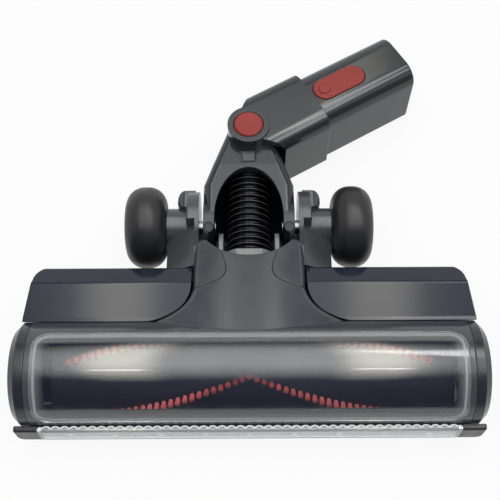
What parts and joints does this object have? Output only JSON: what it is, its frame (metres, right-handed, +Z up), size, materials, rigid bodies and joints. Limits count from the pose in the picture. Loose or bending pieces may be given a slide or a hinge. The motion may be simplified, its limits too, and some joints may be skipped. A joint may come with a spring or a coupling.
{
  "type": "vacuum floor brush head",
  "caption": "Powered vacuum floor head: clear-windowed brush roller, lamp bar, rear wheels, pitching hose neck and swivel elbow with a quick-release connector tube.",
  "frame": {"origin": "on the sole at floor level, at mid width, behind the brush opening", "axes": "+X to the right seen from the front, +Y to the rear, +Z up"},
  "size_m": [0.251, 0.2505, 0.0556],
  "materials": {
    "graphite_plastic": "glossy moulded graphite grey",
    "dark_plastic": "glossy moulded blue-black",
    "clear_plastic": "clear glossy",
    "black_plastic": "satin black",
    "grey_plastic": "light grey satin",
    "red_plastic": "muted red satin",
    "red_bristle": "red nylon tufts",
    "wheel_rubber": "satin black rubber",
    "black_rubber": "shiny black",
    "steel": "bright",
    "brass_contact": "bright",
    "circuit_board": "green board",
    "lamp_white": "white lamps",
    "felt": "black felt"
  },
  "bodies": {
    "head": {"front_shell": "graphite_plastic", "window": "clear_plastic", "left_end_cap": "dark_plastic", "right_end_cap": "dark_plastic", "left_wing": "dark_plastic", "right_wing": "dark_plastic", "yoke": "graphite_plastic", "sole_plate": "black_plastic", "sole_screws": "steel", "felt_strip": "felt", "bumper": "black_plastic", "light_lens": "clear_plastic", "led_board": "circuit_board", "leds": "lamp_white", "air_duct": "black_plastic", "hose_collar": "grey_plastic", "motor": "steel", "drive_belt": "black_rubber", "control_board": "circuit_board", "right_bearing": "steel", "left_bearing": "steel", "right_axle": "steel", "left_axle": "steel", "right_axle_clip": "steel", "left_axle_clip": "steel"},
    "brush": {"brush_core": "black_plastic", "brush_tufts": "red_bristle", "brush_shaft": "steel", "brush_pulley": "black_plastic"},
    "motor_rotor": {"motor_shaft": "steel", "motor_pulley": "black_plastic"},
    "left_wheel": {"left_wheel_hub": "black_plastic", "left_tyre": "wheel_rubber"},
    "right_wheel": {"right_wheel_hub": "black_plastic", "right_tyre": "wheel_rubber"},
    "neck": {"lower_neck": "graphite_plastic", "foot_screws": "steel", "hose": "black_rubber"},
    "upper_neck": {"elbow": "graphite_plastic", "upper_swivel_pin": "steel", "lower_swivel_pin": "steel", "pivot_cap": "red_plastic", "wand_tube": "graphite_plastic", "hose_cuff": "grey_plastic", "latch_spring": "steel", "contact_block": "black_plastic", "contacts": "brass_contact"},
    "button": {"release_button": "red_plastic"},
    "lock": {"brush_lock": "black_plastic"}
  },
  "joints": [
    {"name": "brush_spin", "type": "hinge", "parent": "head", "child": "brush", "pos_m": [0, -0.044, 0.0228], "axis": [1, 0, 0], "continuous": true},
    {"name": "motor_spin", "type": "hinge", "parent": "head", "child": "motor_rotor", "pos_m": [-0.102, -0.0005, 0.019], "axis": [1, 0, 0], "continuous": true},
    {"name": "left_wheel_spin", "type": "hinge", "parent": "head", "child": "left_wheel", "pos_m": [-0.06005, 0.0476, 0.024], "axis": [1, 0, 0], "continuous": true},
    {"name": "right_wheel_spin", "type": "hinge", "parent": "head", "child": "right_wheel", "pos_m": [0.06005, 0.0476, 0.024], "axis": [1, 0, 0], "continuous": true},
    {"name": "neck_pitch", "type": "hinge", "parent": "head", "child": "neck", "pos_m": [0, 0.0476, 0.024], "axis": [1, 0, 0], "range_deg": [0, 70], "deforming": ["hose"]},
    {"name": "neck_swivel", "type": "hinge", "parent": "neck", "child": "upper_neck", "pos_m": [0, 0.1032, 0.024], "axis": [0, 0, 1], "range_deg": [-8, 126], "deforming": ["hose"]},
    {"name": "button_press", "type": "slide", "parent": "upper_neck", "child": "button", "axis": [0, 0, -1], "range_m": [0, 0.0023], "stiffness_N_per_m": 400, "deforming": ["latch_spring"]},
    {"name": "lock_turn", "type": "hinge", "parent": "head", "child": "lock", "pos_m": [0.122, -0.044, 0.0228], "axis": [1, 0, 0], "range_deg": [0, 90]}
  ],
  "couplings": [
    {"joint": "motor_spin", "follows": "brush_spin", "ratio": 2.8}
  ]
}
